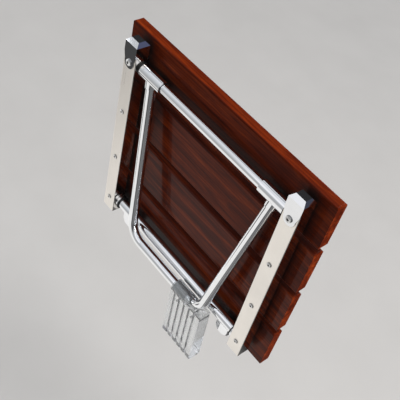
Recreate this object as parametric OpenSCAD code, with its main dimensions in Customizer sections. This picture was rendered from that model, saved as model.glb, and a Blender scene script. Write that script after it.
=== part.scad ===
// Wall-mounted folding shower seat, drawn folded up against the wall.
// X runs along the hinge, -Y points into the room, +Z is up, all in millimetres.
// The origin is on the wall face, in the middle of the screw holes.
// The modules are drawn about the height of the hinge axis, and from_holes lifts them.

/* [Seat] */
// Width of the slats
seat_w = 400; // [380:2:440]
// Height of a full slat as it stands folded up
slat_h = 81; // [78:0.5:82]
// Height of the front slat, the top one when folded
front_slat_h = 76; // [74:0.5:79]
// Gap between two slats
slat_gap = 11.6; // [10:0.2:13]
// Thickness of the slats
slat_t = 17.2; // [14:0.2:20]
// Rounding of the long slat edges
slat_round = 2.6; // [1:0.2:4]

/* [Rails] */
// Distance from the centre to the middle of a rail
rail_x = 162.9; // [160:0.1:166]
// Width of a rail
rail_w = 25.6; // [24:0.2:27]
// Depth of a rail from its front face to its back
rail_d = 21.6; // [20:0.2:22]
// Wall thickness of a rail
rail_wall = 2; // [1.5:0.1:2.5]
// Height of the spacers between rails and slats
spacer_h = 7.2; // [6:0.2:8]

/* [Tubes] */
// Radius of the front tube the leg turns on
front_tube_r = 7; // [6.5:0.1:7.2]
// Radius of the hinge tube at the wall
hinge_tube_r = 8.6; // [8:0.1:9]
// Wall thickness of the tubes
tube_wall = 1.5; // [1.2:0.1:2]
// Radius of the leg tube
leg_r = 7.8; // [7:0.1:8]
// Outer radius of the sleeves of the leg
sleeve_r = 9.6; // [9.4:0.1:10]

/* [Leg] */
// Distance from the front tube to the leg's crosspiece
leg_len = 281; // [278:1:284]
// Lean of the folded leg into the room, degrees
leg_tilt = 4.3; // [4.1:0.1:4.8]
// Half spacing of the leg at its sleeves
leg_top_x = 127; // [124:0.5:129]
// Half spacing of the leg at its crosspiece
leg_foot_x = 88; // [84:1:90]
// Bend radius of the leg tube
leg_bend = 32; // [28:1:36]
// Width of the clear foot
foot_w = 70; // [60:1:71]
// Centre of the foot, off centre towards one side
foot_x = 67; // [64:0.5:66.5]
// Number of grooves in the face of the foot
foot_grooves = 5; // [3:1:7]

/* [Wall brackets] */
// Distance from the wall to the hinge axis
axis_d = 52.4; // [52:0.2:60]
// Distance from the centre to the middle of a bracket
bracket_x = 123.4; // [123:0.1:125]
// Width of the bracket strap
strap_w = 25; // [22:1:26]
// Side of the wall plate
plate_w = 48; // [46:1:50]
// Thickness of the wall plate
plate_t = 4; // [3:0.5:4]
// Spacing of the screw holes, both ways
hole_pitch = 34; // [32:1:34]
// Radius of the screw holes
hole_r = 2.8; // [2.5:0.1:3]

/* [Hidden] */
$fn = 64;
e = 0.5;
fit = 0.05;
gap = 0.3;
axis_y = -axis_d;
// seat planes, measured from the hinge axis
under = 14.4;
under_y = axis_y + under;
rail_back_y = under_y - spacer_h;
rail_front_y = rail_back_y - rail_d;
// heights, the hinge axis is zero
slat_foot_z = -34.6;
slat_pitch = slat_h + slat_gap;
slat_z = [for (i = [0:3]) slat_foot_z + i * slat_pitch];
slat_heights = [slat_h, slat_h, slat_h, front_slat_h];
screw_z = [for (i = [0:2]) slat_z[i] + slat_h / 2];
front_tube_z = 275;
cap_screw_z = slat_z[3] + front_slat_h / 2 + 0.4;
rail_foot_z = -19.4;
rail_top_z = 295;
rail_in_x = rail_x - rail_w / 2;
// slat screws
screw_r = 2.4;
screw_head_r = 3.5;
screw_head_h = 1.9;
screw_depth = 12;
// cap of the rail
cap_top_z = 317;
cap_bevel = 5.8;
cap_clip = 4.8;
tongue_r = 9.8;
tongue_t = 1;
cap_screw_r = 3;
cap_head_r = 5;
cap_head_h = 2.6;
// rear pivots
tube_end_x = 143.5;
washer_t = 1.7;
washer_r = 11.5;
boss_r = 10.8;
boss_x = tube_end_x + washer_t + gap;
pin_r = 4;
pin_end_x = 157;
pivot_bush_r = 6.2;
plug_l = 22;
clip_t = 1.2;
clip_r = 5;
// front pivots
sleeve_in_x = 102;
sleeve_out_x = 146.4;
bush_t = 0.9;
bush_l = 12;
front_washer_r = 9.2;
collar_r = 9.2;
collar_end = 15;
// leg, drawn from the front tube axis downwards before it is leaned
leg_slope = atan((leg_top_x - leg_foot_x) / leg_len);
bend_angle = 90 - leg_slope;
bend_cut = leg_bend * tan(bend_angle / 2);
side_len = leg_len / cos(leg_slope) - bend_cut;
cross_half = leg_foot_x - bend_cut;
seam = 0.02;
// foot, drawn about the crosspiece, x along it, upright when folded
foot_hub_r = 11;
foot_len = 125;
groove_r = 3;
foot_pin_r = 2;
foot_pin_z = -16;
// wall plates
plate_top_z = -34;
plate_z = plate_top_z - plate_w / 2;
arm_w = 16;

// ---- helpers ----
module both() {
    children();
    mirror([1, 0, 0]) children();
}

// rounded rectangle, centred
module round_rect(w, h, r) {
    square([w - 2 * r, h], center = true);
    square([w, h - 2 * r], center = true);
    for (x = [-1, 1], y = [-1, 1])
        translate([x * (w / 2 - r), y * (h / 2 - r)]) circle(r);
}

// cylinder along x from x0 to x1
module rod_x(x0, x1, r) {
    translate([x0, 0, 0]) rotate([0, 90, 0]) cylinder(h = x1 - x0, r = r);
}

// cylinder along y from y0 to y1
module rod_y(y0, y1, r) {
    translate([0, y0, 0]) rotate([-90, 0, 0]) cylinder(h = y1 - y0, r = r);
}

module from_holes() {
    translate([0, 0, -plate_z]) children();
}

module at_hinge() {
    translate([0, axis_y, 0]) children();
}

module at_front_tube() {
    translate([0, axis_y, front_tube_z]) children();
}

module at_leg() {
    at_front_tube() rotate([-leg_tilt, 0, 0]) children();
}

module at_crosspiece() {
    at_leg() translate([0, 0, -leg_len]) rotate([leg_tilt, 0, 0]) children();
}

// positions of the plain slat screws
module each_slat_screw() {
    for (z = screw_z, s = [-1, 1]) translate([s * rail_x, 0, z]) children();
}

module each_cap_screw() {
    for (s = [-1, 1]) translate([s * rail_x, 0, cap_screw_z]) children();
}

// ---- seat ----
module slat(i) {
    h = slat_heights[i];
    z = slat_z[i] + h / 2;
    y = under_y + slat_t / 2;
    color("#5a2412")
    difference() {
        intersection() {
            translate([-seat_w / 2, y, z]) rotate([90, 0, 90])
                linear_extrude(seat_w) round_rect(slat_t, h, slat_round);
            translate([0, under_y + slat_t + e, z]) rotate([90, 0, 0])
                linear_extrude(slat_t + 2 * e) round_rect(seat_w, h, slat_round);
        }
        each_slat_screw() rod_y(under_y - e, under_y + screw_depth, screw_r + fit);
        each_cap_screw() rod_y(under_y - e, under_y + screw_depth, cap_screw_r + fit);
    }
}

module rail_section(w, d, r) {
    translate([0, rail_front_y + rail_d / 2]) round_rect(w, d, r);
}

// side is 1 for the rail on +X, -1 for the other
module rail(side) {
    color("#e4dfd8")
    difference() {
        translate([side * rail_x, 0, rail_foot_z]) difference() {
            linear_extrude(rail_top_z - rail_foot_z) rail_section(rail_w, rail_d, 1);
            translate([0, 0, -e]) linear_extrude(rail_top_z - rail_foot_z + 2 * e)
                rail_section(rail_w - 2 * rail_wall, rail_d - 2 * rail_wall, 0.5);
        }
        each_slat_screw() rod_y(rail_front_y - e, rail_back_y + e, screw_r + fit);
        each_cap_screw() rod_y(rail_front_y - e, rail_back_y + e, cap_screw_r + fit);
        both() at_hinge() rod_x(rail_in_x - e, rail_in_x + rail_wall + e, pivot_bush_r + fit);
    }
}

module rail_end_plugs() {
    color("#b9b4ae")
    both() translate([rail_x, 0, rail_foot_z]) {
        linear_extrude(3) rail_section(rail_w - 2 * rail_wall - 0.1, rail_d - 2 * rail_wall - 0.1, 0.5);
        difference() {
            linear_extrude(10) rail_section(rail_w - 2 * rail_wall - 1, rail_d - 2 * rail_wall - 1, 0.5);
            translate([0, 0, 3]) linear_extrude(8)
                rail_section(rail_w - 2 * rail_wall - 5, rail_d - 2 * rail_wall - 5, 0.5);
        }
    }
}

// outline of the tongue about the screw, as wide as the rail at its root and round below
module tongue_shape() {
    root = [rail_w / 2, rail_top_z - cap_screw_z];
    polygon([root, [tongue_r - 0.6, 0], [0.6 - tongue_r, 0], [-root[0], root[1]]]);
    circle(tongue_r);
}

// polished casting that closes the top of a rail, with a tongue down its face
module front_cap() {
    face = rail_front_y - tongue_t;
    bevel_z = cap_top_z - cap_bevel;
    side = rail_w / 2;
    color("#cfd3d8")
    difference() {
        union() {
            intersection() {
                // front and back bevels
                translate([-side, 0, 0]) rotate([90, 0, 90]) linear_extrude(rail_w)
                    polygon([[rail_back_y, rail_top_z], [face, rail_top_z], [face, bevel_z],
                        [face + cap_bevel, cap_top_z], [rail_back_y - cap_bevel, cap_top_z],
                        [rail_back_y, bevel_z]]);
                // side bevels
                translate([0, rail_back_y + e, 0]) rotate([90, 0, 0])
                    linear_extrude(rail_back_y - face + 2 * e)
                        polygon([[-side, rail_top_z], [side, rail_top_z], [side, bevel_z],
                            [side - cap_clip, cap_top_z], [cap_clip - side, cap_top_z],
                            [-side, bevel_z]]);
            }
            translate([0, rail_front_y, cap_screw_z]) rotate([90, 0, 0])
                linear_extrude(tongue_t) tongue_shape();
            translate([0, 0, rail_top_z - 14]) linear_extrude(14)
                rail_section(rail_w - 2 * rail_wall - 0.1, rail_d - 2 * rail_wall - 0.1, 0.5);
        }
        translate([0, 0, cap_screw_z])
            rod_y(rail_front_y - 2 * tongue_t, rail_back_y, cap_screw_r + fit);
    }
}

module screw(r, head_r, head_h, y_head, y_end) {
    difference() {
        union() {
            rod_y(y_head - head_h * 0.5, y_head, head_r);
            translate([0, y_head - head_h * 0.5, 0]) rotate([90, 0, 0])
                rotate_extrude() intersection() {
                    translate([0, head_h * 0.5 - dome_r(head_r, head_h)]) circle(dome_r(head_r, head_h));
                    square([head_r, head_h * 0.5]);
                }
            rod_y(y_head - fit, y_end, r);
        }
        // hexagon socket
        translate([0, y_head - head_h - e, 0]) rotate([-90, 0, 0])
            cylinder(h = head_h * 0.6 + e, r = head_r * 0.45, $fn = 6);
    }
}

// radius of the dome over a head that is head_r wide and half of head_h high
function dome_r(r, h) = (r * r + h * h / 4) / h;

module cap_screws() {
    color("#c9ccd0")
    each_cap_screw() screw(cap_screw_r, cap_head_r, cap_head_h, rail_front_y - tongue_t, under_y + screw_depth - 1);
}

module slat_screws() {
    color("#c9ccd0")
    each_slat_screw() screw(screw_r, screw_head_r, screw_head_h, rail_front_y, under_y + screw_depth - 1);
}

module spacer(bore) {
    difference() {
        rod_y(rail_back_y, under_y, 7);
        rod_y(rail_back_y - e, under_y + e, bore + fit);
    }
}

module slat_spacers() {
    color("#d8d8d8") {
        each_slat_screw() spacer(screw_r);
        each_cap_screw() spacer(cap_screw_r);
    }
}

module front_tube() {
    color("#dfe3e8")
    at_front_tube() ring_x(-rail_in_x, rail_in_x, front_tube_r, front_tube_r - tube_wall);
}

module ring_x(x0, x1, r, bore) {
    difference() {
        rod_x(x0, x1, r);
        rod_x(x0 - e, x1 + e, bore);
    }
}

module leg_washers() {
    color("#161616")
    both() at_front_tube() ring_x(sleeve_out_x + gap, rail_in_x, front_washer_r, front_tube_r + fit);
}

module pivot_collars() {
    color("#d9dade")
    both() at_hinge() ring_x(boss_x, rail_in_x, boss_r, pivot_bush_r + fit);
}

module pivot_bushes() {
    color("#202020")
    both() at_hinge() ring_x(boss_x, rail_in_x + rail_wall, pivot_bush_r, pin_r + fit);
}

// ---- leg ----
module leg_sleeve() {
    color("#dfe3e8")
    at_leg() ring_x(sleeve_in_x, sleeve_out_x, sleeve_r, front_tube_r + bush_t + 2 * fit);
}

module leg_bushes() {
    color("#1c1c1c")
    both() at_leg() {
        ring_x(sleeve_in_x + 1, sleeve_in_x + bush_l, front_tube_r + bush_t + fit, front_tube_r + fit);
        ring_x(sleeve_out_x - bush_l, sleeve_out_x - 1, front_tube_r + bush_t + fit, front_tube_r + fit);
    }
}

// along one side of the leg, z counting down from the sleeve
module at_leg_side() {
    translate([leg_top_x, 0, 0]) rotate([0, leg_slope, 0]) children();
}

module leg_collars() {
    color("#dfe3e8")
    both() at_leg() difference() {
        at_leg_side() translate([0, 0, -collar_end]) cylinder(h = collar_end, r = collar_r);
        at_leg_side() translate([0, 0, -collar_end - e]) cylinder(h = collar_end + 2 * e, r = leg_r + fit);
        rod_x(sleeve_in_x - e, sleeve_out_x + e, sleeve_r + fit);
    }
}

// U of outer radius r and bore radius b, in five lengths that meet end to end with a hair between
module leg_path(r, b) {
    both() {
        at_leg_side() translate([0, 0, -side_len + seam]) linear_extrude(side_len - seam) ring(r, b);
        translate([cross_half, 0, leg_bend - leg_len]) rotate([90, 90, 0])
            rotate_extrude(angle = bend_angle) translate([leg_bend, 0]) ring(r, b);
    }
    translate([seam - cross_half, 0, -leg_len]) rotate([0, 90, 0])
        linear_extrude(2 * (cross_half - seam)) ring(r, b);
}

module ring(r, b) {
    difference() {
        circle(r);
        if (b > 0) circle(b);
    }
}

module leg_frame() {
    color("#e3e6ea")
    at_leg() difference() {
        leg_path(leg_r, leg_r - tube_wall);
        both() rod_x(sleeve_in_x - e, sleeve_out_x + e, sleeve_r + fit);
    }
}

// side outline of the foot, [y, z] about the crosspiece
function foot_outline() = [[-foot_hub_r, 0], [-4, -foot_len + 4], [0, -foot_len],
    [17, -foot_len], [20, -foot_len + 3], [13.6, -38], [foot_hub_r - 0.6, -3]];

module foot() {
    x0 = foot_x - foot_w / 2;
    groove_pitch = foot_w / (foot_grooves + 1);
    face_angle = atan((foot_hub_r - 4) / (foot_len - 4));
    color("#e8f0f4", 0.6)
    difference() {
        at_crosspiece() difference() {
            union() {
                rod_x(x0, x0 + foot_w, foot_hub_r);
                translate([x0, 0, 0]) rotate([90, 0, 90]) linear_extrude(foot_w) polygon(foot_outline());
            }
            for (i = [1:foot_grooves]) translate([x0 + i * groove_pitch, -foot_hub_r - 1, 0])
                rotate([face_angle, 0, 0]) translate([0, 0, -foot_len - 10])
                    cylinder(h = foot_len + 10, r = groove_r);
            for (s = [-1, 1]) translate([foot_x + s * foot_w / 4, 0, foot_pin_z])
                rod_y(-foot_hub_r - e, 20, foot_pin_r + fit);
        }
        at_leg() leg_path(leg_r + 1 + fit, 0);
    }
}

// thin sleeve between the crosspiece and the foot
module foot_liner() {
    x0 = foot_x - foot_w / 2;
    color("#f2f2f2", 0.8)
    at_leg() intersection() {
        leg_path(leg_r + 1, leg_r + fit);
        translate([x0 + 1, -20, -leg_len - 20]) cube([cross_half - x0 - 1, 40, 40]);
    }
}

module foot_screws() {
    color("#c9ccd0")
    at_crosspiece() for (s = [-1, 1]) translate([foot_x + s * foot_w / 4, 0, foot_pin_z])
        rod_y(-8, 12, foot_pin_r);
}

// ---- wall side ----
module hinge_tube() {
    color("#dfe3e8")
    at_hinge() ring_x(-tube_end_x, tube_end_x, hinge_tube_r, hinge_tube_r - tube_wall);
}

module tube_plugs() {
    color("#bfc2c6")
    both() at_hinge() ring_x(tube_end_x - plug_l, tube_end_x, hinge_tube_r - tube_wall - fit, pin_r + fit);
}

module pivot_pins() {
    color("#c2c5c9")
    both() at_hinge() difference() {
        rod_x(tube_end_x - plug_l, pin_end_x, pin_r);
        ring_x(pin_end_x - 3, pin_end_x - 3 + clip_t, pin_r + 1, pin_r - 1);
    }
}

module pivot_clips() {
    color("#8c8f93")
    both() at_hinge() ring_x(pin_end_x - 3 + fit, pin_end_x - 3 + clip_t - fit, clip_r, pin_r - 1 + fit);
}

module pivot_washers() {
    color("#141414")
    both() at_hinge() ring_x(tube_end_x, tube_end_x + washer_t, washer_r, pin_r + fit);
}

// strap with a round foot, bent back to the wall plate
module bracket() {
    strap_foot_z = -36;
    color("#dcdde0")
    difference() {
        union() {
            translate([bracket_x, axis_y + 7.4, 0]) rotate([90, 0, 0]) linear_extrude(8) {
                translate([-strap_w / 2, strap_foot_z + strap_w / 2])
                    square([strap_w, -strap_foot_z - strap_w / 2]);
                translate([0, strap_foot_z + strap_w / 2]) circle(strap_w / 2);
            }
            translate([bracket_x - arm_w / 2, axis_y, 0]) rotate([90, 0, 90]) linear_extrude(arm_w)
                polygon([[2, -28], [2, strap_foot_z + 1], [10, -46], [axis_d - plate_t, -46],
                    [axis_d - plate_t, -37.8], [13.4, -37.8], [7.4, -30], [7.4, -28]]);
        }
        at_hinge() rod_x(0, tube_end_x, hinge_tube_r + fit);
    }
}

module each_wall_hole() {
    for (sx = [-1, 1], sz = [-1, 1])
        translate([bracket_x + sx * hole_pitch / 2, 0, plate_z + sz * hole_pitch / 2]) children();
}

module wall_plates() {
    color("#cfd1d4")
    both() difference() {
        translate([bracket_x, 0, plate_z]) rotate([90, 0, 0]) linear_extrude(plate_t)
            round_rect(plate_w, plate_w, 6);
        each_wall_hole() rod_y(-plate_t - e, e, hole_r);
    }
}

from_holes() slat(3);  // slat_front
from_holes() slat(2);  // slat_second
from_holes() slat(1);  // slat_third
from_holes() slat(0);  // slat_rear
from_holes() rail(-1);  // rail_left
from_holes() rail(1);  // rail_right
from_holes() rail_end_plugs();
from_holes() translate([-rail_x, 0, 0]) front_cap();  // front_cap_left
from_holes() translate([rail_x, 0, 0]) front_cap();  // front_cap_right
from_holes() cap_screws();
from_holes() slat_screws();
from_holes() slat_spacers();
from_holes() front_tube();
from_holes() leg_washers();
from_holes() pivot_collars();
from_holes() pivot_bushes();
from_holes() mirror([1, 0, 0]) leg_sleeve();  // leg_sleeve_left
from_holes() leg_sleeve();  // leg_sleeve_right
from_holes() leg_bushes();
from_holes() leg_collars();
from_holes() leg_frame();
from_holes() foot();
from_holes() foot_liner();
from_holes() foot_screws();
from_holes() hinge_tube();
from_holes() tube_plugs();
from_holes() pivot_pins();
from_holes() pivot_clips();
from_holes() pivot_washers();
from_holes() mirror([1, 0, 0]) bracket();  // bracket_left
from_holes() bracket();  // bracket_right
from_holes() wall_plates();
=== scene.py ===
"""Looks, light and camera for the folding shower seat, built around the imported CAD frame. Metres."""

import math

import bpy
from mathutils import Matrix, Quaternion, Vector

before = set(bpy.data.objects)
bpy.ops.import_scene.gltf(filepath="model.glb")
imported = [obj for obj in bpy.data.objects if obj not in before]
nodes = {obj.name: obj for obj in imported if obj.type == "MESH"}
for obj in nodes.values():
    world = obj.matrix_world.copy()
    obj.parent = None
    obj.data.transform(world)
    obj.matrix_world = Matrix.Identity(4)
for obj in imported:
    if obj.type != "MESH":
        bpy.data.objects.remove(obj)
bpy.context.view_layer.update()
scene = bpy.context.scene

MM = 0.001
# the span that most values of a noise fall in
NOISE_SPAN = (0.3, 0.7)


def rgba(colour, shade=1.0):
    return tuple(shade * part for part in colour) + (1,)


# ---- node graphs ----
class Graph:
    """A node tree that is built by calls which return sockets."""

    def __init__(self, tree):
        self.tree = tree
        tree.nodes.clear()

    def add(self, kind, inputs=None, **settings):
        node = self.tree.nodes.new(kind)
        for key, value in settings.items():
            setattr(node, key, value)
        self.feed(node, inputs or {})
        return node

    def feed(self, node, inputs):
        for key, value in inputs.items():
            if isinstance(value, bpy.types.NodeSocket):
                self.tree.links.new(value, node.inputs[key])
            else:
                node.inputs[key].default_value = value

    def noise(self, vector, scale, detail=4, roughness=0.5, distortion=0):
        node = self.add("ShaderNodeTexNoise", {"Vector": vector, "Scale": scale, "Detail": detail})
        self.feed(node, {"Roughness": roughness, "Distortion": distortion})
        return node.outputs["Fac"]

    def remap(self, value, low, high, out_low, out_high):
        node = self.add("ShaderNodeMapRange", {"Value": value, "From Min": low, "From Max": high})
        self.feed(node, {"To Min": out_low, "To Max": out_high})
        return node.outputs[0]

    def rise(self, value, low, high):
        """0 below low, 1 above high."""
        return self.remap(value, low, high, 0, 1)

    def fall(self, value, low, high):
        """1 below low, 0 above high."""
        return self.remap(value, low, high, 1, 0)

    def near(self, value, centre, inner, outer):
        """1 within inner of the centre, 0 beyond outer."""
        return self.fall(self.math("ABSOLUTE", self.math("SUBTRACT", value, centre)), inner, outer)

    def math(self, operation, a, b=0.0):
        return self.add("ShaderNodeMath", {0: a, 1: b}, operation=operation).outputs[0]

    def product(self, first, *others):
        for other in others:
            first = self.math("MULTIPLY", first, other)
        return first

    def split(self, vector):
        return self.add("ShaderNodeSeparateXYZ", {"Vector": vector}).outputs[:]

    def ramp(self, value, stops):
        node = self.add("ShaderNodeValToRGB", {"Fac": value})
        points = node.color_ramp.elements
        while len(points) < len(stops):
            points.new(0.5)
        for point, (place, colour) in zip(points, stops):
            point.position = place
            point.color = rgba(colour)
        return node.outputs[0]

    def mix(self, factor, a, b, blend="MIX"):
        node = self.add("ShaderNodeMix", {0: factor, 6: a, 7: b}, data_type="RGBA", blend_type=blend)
        return node.outputs[2]

    def mix_value(self, factor, a, b):
        return self.add("ShaderNodeMix", {0: factor, 2: a, 3: b}, data_type="FLOAT").outputs[0]


class Look(Graph):
    """A material with a Principled shader, in object coordinates."""

    def __init__(self, name):
        self.material = bpy.data.materials.new(name)
        self.material.use_nodes = True
        super().__init__(self.material.node_tree)
        self.shader = self.add("ShaderNodeBsdfPrincipled")
        self.add("ShaderNodeOutputMaterial", {"Surface": self.shader.outputs[0]})
        coords = self.add("ShaderNodeTexCoord")
        self.place = coords.outputs["Object"]
        self.normal = coords.outputs["Normal"]

    def principled(self, inputs):
        self.feed(self.shader, inputs)
        return self.material

    def stretched(self, scale, offset=(0, 0, 0)):
        """Object coordinates moved by offset and scaled per axis."""
        node = self.add("ShaderNodeMapping", {"Vector": self.place, "Location": offset, "Scale": scale})
        return node.outputs[0]

    def mottled(self, noise, colour, shade, span=NOISE_SPAN):
        """A colour that turns into a darker shade of itself where the noise is high."""
        return self.mix(self.rise(noise, *span), rgba(colour), rgba(colour, shade))

    def painted_crease_shade(self, colour, reach, strength=1.0):
        """Paint shade into a colour where another surface stands within reach, as in creases and gaps."""
        open_share = self.add("ShaderNodeAmbientOcclusion", {"Distance": reach}, samples=8).outputs["AO"]
        return self.mix(self.remap(open_share, 0.35, 0.95, strength, 0), colour, rgba((0.01, 0.01, 0.01)))

    def shaded(self, colour, factor):
        grey = self.add("ShaderNodeCombineColor", {0: factor, 1: factor, 2: factor}).outputs[0]
        return self.mix(1.0, colour, grey, "MULTIPLY")

    def bump(self, height, distance, strength=1.0):
        node = self.add("ShaderNodeBump", {"Height": height, "Distance": distance, "Strength": strength})
        return node.outputs[0]


# ---- materials ----
WOOD_TONES = [
    (0.36, (0.045, 0.005, 0.001)),
    (0.46, (0.110, 0.012, 0.002)),
    (0.54, (0.205, 0.026, 0.003)),
    (0.64, (0.40, 0.062, 0.008)),
]
PORE_COLOUR = (0.02, 0.004, 0.002)
# painted shade on the underside and painted light on the end faces, as brightness against the outer face
UNDERSIDE_PAINTED_SHADE = 0.46
END_FACE_PAINTED_LIGHT = 1.3
# lacquer on every face but the underside
SHEEN_OUTSIDE = 0.12


def wood(name, offset, sheen):
    """Lacquered red-brown hardwood, grain along X, with painted shade on the underside and in the gaps,
    painted light on the end faces, and its own sheen on the underside.
    """
    g = Look(name)
    flow = g.noise(g.stretched((2.2, 26, 26), offset), 1.6, 6, 0.62, 1.1)
    streak = g.noise(g.stretched((1.2, 120, 120), offset), 2.4, 5, 0.6, 0.4)
    figure = g.noise(g.stretched((8, 60, 60), offset), 1.8, 4, 0.6, 1.0)
    pores = g.noise(g.stretched((14, 900, 900), offset), 1.0, 3, 0.6)
    grain = g.mix_value(0.25, g.mix_value(0.42, flow, streak), figure)
    colour = g.ramp(grain, WOOD_TONES)
    colour = g.mix(g.remap(pores, 0.56, 0.72, 0.0, 0.5), colour, rgba(PORE_COLOUR))
    across, facing, _ = g.split(g.normal)
    # painted light on the end faces and painted shade on the underside, multiplied into the wood colour
    end_painted_light = g.remap(g.math("ABSOLUTE", across), 0.5, 0.8, 1.0, END_FACE_PAINTED_LIGHT)
    # 0 on the underside and 1 on every other face
    outside = g.rise(facing, -0.75, -0.35)
    colour = g.shaded(colour, g.product(end_painted_light, g.mix_value(outside, UNDERSIDE_PAINTED_SHADE, 1.0)))
    return g.principled(
        {
            # painted shade in the gaps between slats and next to the rails and tubes
            "Base Color": g.painted_crease_shade(colour, 18 * MM, 0.85),
            "Roughness": g.remap(flow, 0.2, 0.8, 0.36, 0.26),
            "Specular IOR Level": 0.03,
            "Coat Weight": g.mix_value(outside, sheen, SHEEN_OUTSIDE),
            "Coat Roughness": 0.05,
            "Normal": g.bump(pores, 0.05 * MM, 0.3),
        }
    )


def mirror_metal(name, colour, roughness, smear=0.04):
    """Polished plating: almost a mirror, with a faint film that varies the gloss."""
    g = Look(name)
    film = g.noise(g.place, 28, 5, 0.6)
    fine = g.noise(g.place, 420, 3, 0.6)
    return g.principled(
        {
            "Base Color": g.mottled(film, colour, 0.94, (0.35, 0.7)),
            "Metallic": 1.0,
            "Roughness": g.remap(film, 0.3, 0.75, roughness, roughness + smear),
            "Normal": g.bump(fine, 0.004 * MM, 0.3),
        }
    )


def rail_metal(name):
    """Box section: satin brushed front and back, polished flanks."""
    g = Look(name)
    flank = g.rise(g.math("ABSOLUTE", g.split(g.normal)[0]), 0.6, 0.9)
    brush = g.noise(g.stretched((2600, 2600, 14)), 1.0, 3, 0.7)
    cloud = g.noise(g.place, 18, 4, 0.5)
    steel = g.mix(g.rise(cloud, *NOISE_SPAN), rgba((0.84, 0.80, 0.75)), rgba((0.78, 0.745, 0.70)))
    satin = g.math("ADD", g.remap(brush, *NOISE_SPAN, 0.28, 0.40), g.remap(cloud, *NOISE_SPAN, -0.03, 0.03))
    lines = g.product(brush, g.math("SUBTRACT", 1.0, flank))
    return g.principled(
        {
            # painted shade in the creases of the rail
            "Base Color": g.painted_crease_shade(steel, 2.5 * MM, 0.8),
            "Metallic": 1.0,
            "Roughness": g.mix_value(flank, satin, 0.06),
            "Normal": g.bump(lines, 0.012 * MM, 0.4),
        }
    )


def turned_metal(name, colour, roughness):
    """Small turned or stamped steel parts, with painted shade in their sockets and round their heads."""
    g = Look(name)
    grain = g.noise(g.place, 1500, 3, 0.65)
    return g.principled(
        {
            # painted shade in sockets and round the heads
            "Base Color": g.painted_crease_shade(g.mottled(grain, colour, 0.85), 3 * MM),
            "Metallic": 1.0,
            "Roughness": g.remap(grain, *NOISE_SPAN, roughness, roughness + 0.12),
            "Normal": g.bump(grain, 0.01 * MM, 0.4),
        }
    )


def moulding(name, colour, roughness):
    """Opaque moulded plastic with a fine grain."""
    g = Look(name)
    grain = g.noise(g.place, 900, 3, 0.6)
    cloud = g.noise(g.place, 40, 3, 0.5)
    return g.principled(
        {
            "Base Color": g.mottled(cloud, colour, 0.8),
            "Roughness": g.remap(grain, *NOISE_SPAN, roughness, roughness + 0.1),
            "Normal": g.bump(grain, 0.02 * MM, 0.5),
        }
    )


def clear_plastic(name, tint, transmission, roughness):
    """Moulding that is clear or clouded, by its transmission, with faint flow waves in its surface."""
    g = Look(name)
    flow = g.noise(g.place, 60, 3, 0.5)
    return g.principled(
        {
            # faint painted shade in the creases of the moulding
            "Base Color": g.painted_crease_shade(g.mottled(flow, tint, 0.97), 4 * MM, 0.2),
            "Roughness": g.remap(flow, *NOISE_SPAN, roughness, roughness + 0.03),
            "IOR": 1.49,
            "Transmission Weight": transmission,
            "Normal": g.bump(flow, 0.15 * MM, 0.25),
        }
    )


def floor_paint(name):
    """Plain pale floor with a hardly visible cloud."""
    g = Look(name)
    cloud = g.rise(g.noise(g.place, 6, 4), *NOISE_SPAN)
    pale = g.mix(cloud, rgba((0.63, 0.625, 0.62)), rgba((0.60, 0.595, 0.59)))
    return g.principled({"Base Color": pale, "Roughness": 0.6})


LOOKS = {
    mirror_metal("chrome", (0.86, 0.87, 0.89), 0.035): [
        "front_tube", "hinge_tube", "leg_sleeve_left", "leg_sleeve_right", "leg_collars", "leg_frame",
        "pivot_collars", "bracket_left", "bracket_right",
    ],
    mirror_metal("polished_cap", (0.80, 0.81, 0.83), 0.04): ["front_cap_left", "front_cap_right"],
    rail_metal("rail_steel"): ["rail_left", "rail_right", "wall_plates"],
    turned_metal("screw_steel", (0.72, 0.72, 0.72), 0.16): [
        "cap_screws", "slat_screws", "slat_spacers", "foot_screws", "tube_plugs", "pivot_pins", "pivot_clips",
    ],
    moulding("black_nylon", (0.012, 0.012, 0.013), 0.38): [
        "leg_washers", "leg_bushes", "pivot_bushes", "pivot_washers",
    ],
    moulding("plug_grey", (0.30, 0.29, 0.28), 0.45): ["rail_end_plugs"],
    clear_plastic("clear_plastic", (0.97, 0.99, 1.0), 0.93, 0.0): ["foot"],
    clear_plastic("liner", (0.90, 0.92, 0.93), 0.5, 0.15): ["foot_liner"],
}
# sheen of each slat's underside
SHEEN = {"slat_front": 0.03, "slat_second": 0.13, "slat_third": 0.17, "slat_rear": 0.10}
for index, (slat, sheen) in enumerate(SHEEN.items()):
    LOOKS[wood("teak_" + slat, (0.37 * index, 0.11 * index, 0.23 * index), sheen)] = [slat]

for look, names in LOOKS.items():
    for name in names:
        for slot in nodes[name].material_slots:
            slot.link = "OBJECT"
            slot.material = look

# ---- edge rounding in millimetres, where the solids are sharp ----
EDGE = {
    0.12: ["slat_screws"],
    0.15: ["cap_screws"],
    0.2: ["leg_washers", "pivot_washers"],
    0.3: ["hinge_tube", "leg_collars"],
    0.35: ["front_cap_left", "front_cap_right"],
    0.4: ["foot", "leg_sleeve_left", "leg_sleeve_right", "pivot_collars", "wall_plates"],
    0.6: ["bracket_left", "bracket_right"],
    1.2: list(SHEEN),
}
SHARP = math.radians(35)
for width, names in EDGE.items():
    for name in names:
        bevel = nodes[name].modifiers.new("edge", "BEVEL")
        bevel.width = width * MM
        bevel.segments = 2
        bevel.limit_method = "ANGLE"
        bevel.angle_limit = SHARP
        bevel.harden_normals = True

# ---- stage ----
# where the foot stands with the seat down
FLOOR_Z = -0.3478
FLOOR_SIZE = 12
bpy.ops.mesh.primitive_plane_add(size=FLOOR_SIZE, location=(0, 0, FLOOR_Z))
floor = bpy.context.object
floor.name = "floor"
floor.data.materials.append(floor_paint("floor"))
floor.visible_glossy = False

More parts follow.
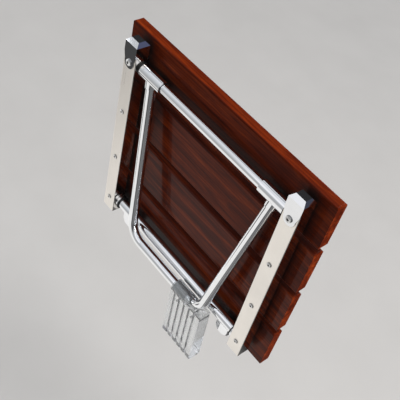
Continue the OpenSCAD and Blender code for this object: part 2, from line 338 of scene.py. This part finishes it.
# colours of the studio, from straight below to straight above
ROOM_TONES = [
    (0.0, (0.98, 0.965, 0.94)),
    (0.28, (0.95, 0.935, 0.91)),
    (0.42, (0.42, 0.42, 0.42)),
    (0.60, (0.46, 0.47, 0.48)),
    (0.78, (0.64, 0.66, 0.68)),
    (0.93, (0.82, 0.84, 0.88)),
]
BACK_DARK = (0.03, 0.03, 0.032)
BACK_BLUE = (0.09, 0.10, 0.17)
BACK_LIGHT = (1.1, 1.1, 1.15)
SIDE_DARK = (0.05, 0.05, 0.055)
WINDOW_LIGHT = (1.05, 1.05, 1.08)
FLAG_BLACK = (0.02, 0.02, 0.022)
FILL_LIGHT = (0.72, 0.71, 0.70)
BACKDROP = (0.56, 0.555, 0.55)
# z of the directions that meet the middle of the window
WINDOW_Z = 0.62
# heading of the upright flag, in radians from -Y towards +X
UPRIGHT_FLAG = 0.42
# y of the directions that meet the middle of the overhead flag
OVERHEAD_FLAG = 0.12
# direction of the round flag, which the left front cap mirrors
ROUND_FLAG = (-0.63, -0.53, -0.57)


def studio_room(g, way):
    """What the metal mirrors: a room with a light floor, a dark back and right side, a window and flags.

    x, y and z are the parts of a direction, each from -1 to 1. The places are chosen for the camera's view.
    """
    x, y, z = g.split(way)
    base = g.ramp(g.rise(z, -1, 1), ROOM_TONES)
    back = g.rise(y, 0.42, 0.50)
    back_top = g.product(g.rise(y, 0.68, 0.74), g.rise(z, 0.1, 0.3))
    right = g.rise(x, 0.2, 0.4)
    dark = g.mix(g.product(right, g.rise(z, 0.1, 0.3)), rgba(BACK_DARK), rgba(BACK_BLUE))
    room = g.mix(back, base, g.mix(back_top, dark, rgba(BACK_LIGHT)))
    room = g.mix(g.product(0.85, right, g.fall(z, 0.0, 0.3)), room, rgba(SIDE_DARK))
    window = g.product(0.9, g.rise(x, -0.44, -0.40), g.fall(y, -0.3, -0.2), g.near(z, WINDOW_Z, 0.12, 0.2))
    room = g.mix(window, room, rgba(WINDOW_LIGHT))

    heading = g.math("ARCTAN2", x, g.product(y, -1.0))
    upright = g.product(0.85, g.near(heading, UPRIGHT_FLAG, 0.10, 0.20), g.fall(z, 0.1, 0.35))
    overhead = g.product(0.55, g.near(y, OVERHEAD_FLAG, 0.07, 0.14), g.rise(z, 0.3, 0.5))
    aim = g.add("ShaderNodeVectorMath", {0: way, 1: ROUND_FLAG}, operation="DOT_PRODUCT").outputs["Value"]
    flags = g.math("MAXIMUM", upright, overhead)
    flags = g.math("MAXIMUM", flags, g.product(0.95, g.rise(aim, 0.9925, 0.9955)))
    return g.mix(flags, room, rgba(FLAG_BLACK))


def studio_world():
    """An even fill for diffuse rays, a plain backdrop for the camera and the room for all other rays."""
    world = bpy.data.worlds.new("studio")
    world.use_nodes = True
    g = Graph(world.node_tree)
    way = g.add("ShaderNodeTexCoord").outputs["Generated"]
    rays = g.add("ShaderNodeLightPath").outputs
    colour = g.mix(rays["Is Diffuse Ray"], studio_room(g, way), rgba(FILL_LIGHT))
    colour = g.mix(rays["Is Camera Ray"], colour, rgba(BACKDROP))
    shader = g.add("ShaderNodeBackground", {"Color": colour, "Strength": 1.0})
    g.add("ShaderNodeOutputWorld", {"Surface": shader.outputs[0]})
    scene.world = world


def softbox(name, location, target, size, power, colour=(1, 1, 1)):
    data = bpy.data.lights.new(name, "AREA")
    data.shape = "RECTANGLE"
    data.size, data.size_y = size
    data.energy = power
    data.color = colour
    lamp = bpy.data.objects.new(name, data)
    scene.collection.objects.link(lamp)
    lamp.location = location
    lamp.rotation_mode = "QUATERNION"
    lamp.rotation_quaternion = (Vector(target) - Vector(location)).to_track_quat("-Z", "Y")


studio_world()
AIM = (0, -0.04, 0.15)
softbox("key", (0.30, 0.45, 1.5), AIM, (0.8, 0.8), 9, (1, 0.97, 0.93))
softbox("strip_left", (-1.3, -1.0, 0.5), AIM, (0.12, 1.4), 2.2, (0.95, 0.97, 1))
softbox("strip_right", (1.5, -0.3, 0.6), AIM, (0.12, 1.2), 4.0)
scene.view_settings.view_transform = "Standard"

# ---- camera ----
CAMERA_PLACE = Vector((0.4428, -0.5834, 0.9296))
CAMERA_TURN = Quaternion((0.82259, 0.36600, 0.07395, 0.42885))
camera_data = bpy.data.cameras.new("camera")
camera_data.lens = 63.24
camera_data.sensor_width = 36
camera = bpy.data.objects.new("camera", camera_data)
scene.collection.objects.link(camera)
camera.matrix_world = Matrix.LocRotScale(CAMERA_PLACE, CAMERA_TURN, None)
scene.camera = camera
